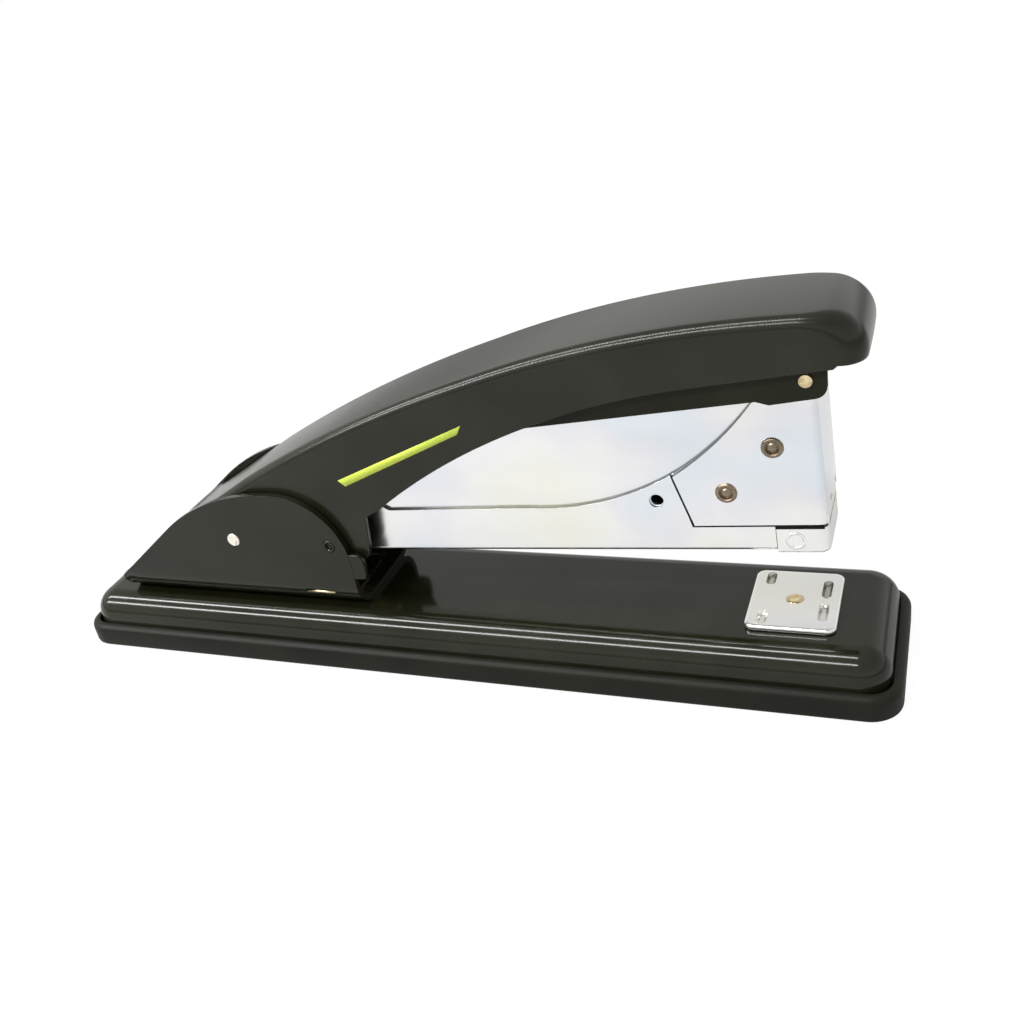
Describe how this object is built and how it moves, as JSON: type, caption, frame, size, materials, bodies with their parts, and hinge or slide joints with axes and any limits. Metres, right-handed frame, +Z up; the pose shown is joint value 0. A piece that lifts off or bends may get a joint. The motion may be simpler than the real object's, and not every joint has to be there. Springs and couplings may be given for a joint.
{
  "type": "desk stapler",
  "caption": "Desk stapler: arched enamelled handle over a chromed magazine, both hinged on one pin between the ears of a long base with a turning anvil.",
  "frame": {"origin": "middle of the sole's underside, where the stapler stands on the table", "axes": "+X along the base towards the mouth, +Y across to the far ear, +Z up"},
  "size_m": [0.18, 0.0374, 0.0735],
  "materials": {
    "sole_rubber": "satin moulded rubber",
    "black_enamel": "glossy black stove enamel on pressed steel",
    "bright_chrome": "bright chrome plate on sheet steel",
    "plain_steel": "plain bright steel",
    "spring_steel": "drawn spring wire",
    "rivet_brass": "dull brass"
  },
  "bodies": {
    "base": {"base_sole": "sole_rubber", "base_shell": "black_enamel", "rear_bracket": "black_enamel", "bracket_rivets": "plain_steel", "pivot_pin": "plain_steel", "stop_pin": "black_enamel", "lift_spring": "rivet_brass"},
    "anvil": {"anvil_plate": "bright_chrome", "anvil_pivot": "rivet_brass", "anvil_spring": "spring_steel", "anvil_retainer": "plain_steel"},
    "magazine": {"magazine_channel": "bright_chrome", "upper_frame": "bright_chrome", "front_casing": "bright_chrome", "casing_rivets": "rivet_brass", "pivot_bush": "plain_steel", "return_spring": "spring_steel"},
    "rail": {"staple_rail": "plain_steel", "rail_nose": "bright_chrome", "guide_rod": "plain_steel", "pusher_spring": "spring_steel"},
    "pusher": {"pusher": "plain_steel"},
    "handle": {"handle_shell": "black_enamel", "handle_bracket": "black_enamel", "driver_hanger": "plain_steel", "hanger_studs": "rivet_brass", "pivot_washers": "plain_steel"},
    "driver": {"driver_blade": "plain_steel"}
  },
  "joints": [
    {"name": "magazine_swing", "type": "hinge", "parent": "base", "child": "magazine", "pos_m": [-0.0436, 0, 0.0278], "axis": [0, -1, 0], "range_deg": [-6.9, 0], "stiffness_Nm_per_rad": 0.8, "springref_deg": 28.65, "deforming": ["lift_spring"]},
    {"name": "handle_press", "type": "hinge", "parent": "magazine", "child": "handle", "pos_m": [-0.0436, 0, 0.0278], "axis": [0, -1, 0], "range_deg": [-4, 0], "stiffness_Nm_per_rad": 2, "springref_deg": 28.65, "deforming": ["return_spring"]},
    {"name": "driver_stroke", "type": "slide", "parent": "magazine", "child": "driver", "axis": [-0.0567, 0, 0.9984], "range_m": [-0.0085, 0]},
    {"name": "rail_slide", "type": "slide", "parent": "magazine", "child": "rail", "axis": [0.9984, 0, 0.0567], "range_m": [0, 0.085]},
    {"name": "pusher_slide", "type": "slide", "parent": "rail", "child": "pusher", "axis": [0.9984, 0, 0.0567], "range_m": [-0.065, 0], "stiffness_N_per_m": 20, "springref_m": 0.1, "deforming": ["pusher_spring"]},
    {"name": "anvil_turn", "type": "hinge", "parent": "base", "child": "anvil", "pos_m": [0.07, 0, 0.01165], "axis": [0, 0, 1], "range_deg": [0, 180]}
  ],
  "couplings": [
    {"joint": "driver_stroke", "follows": "handle_press", "m_per_rad": 0.1205}
  ]
}
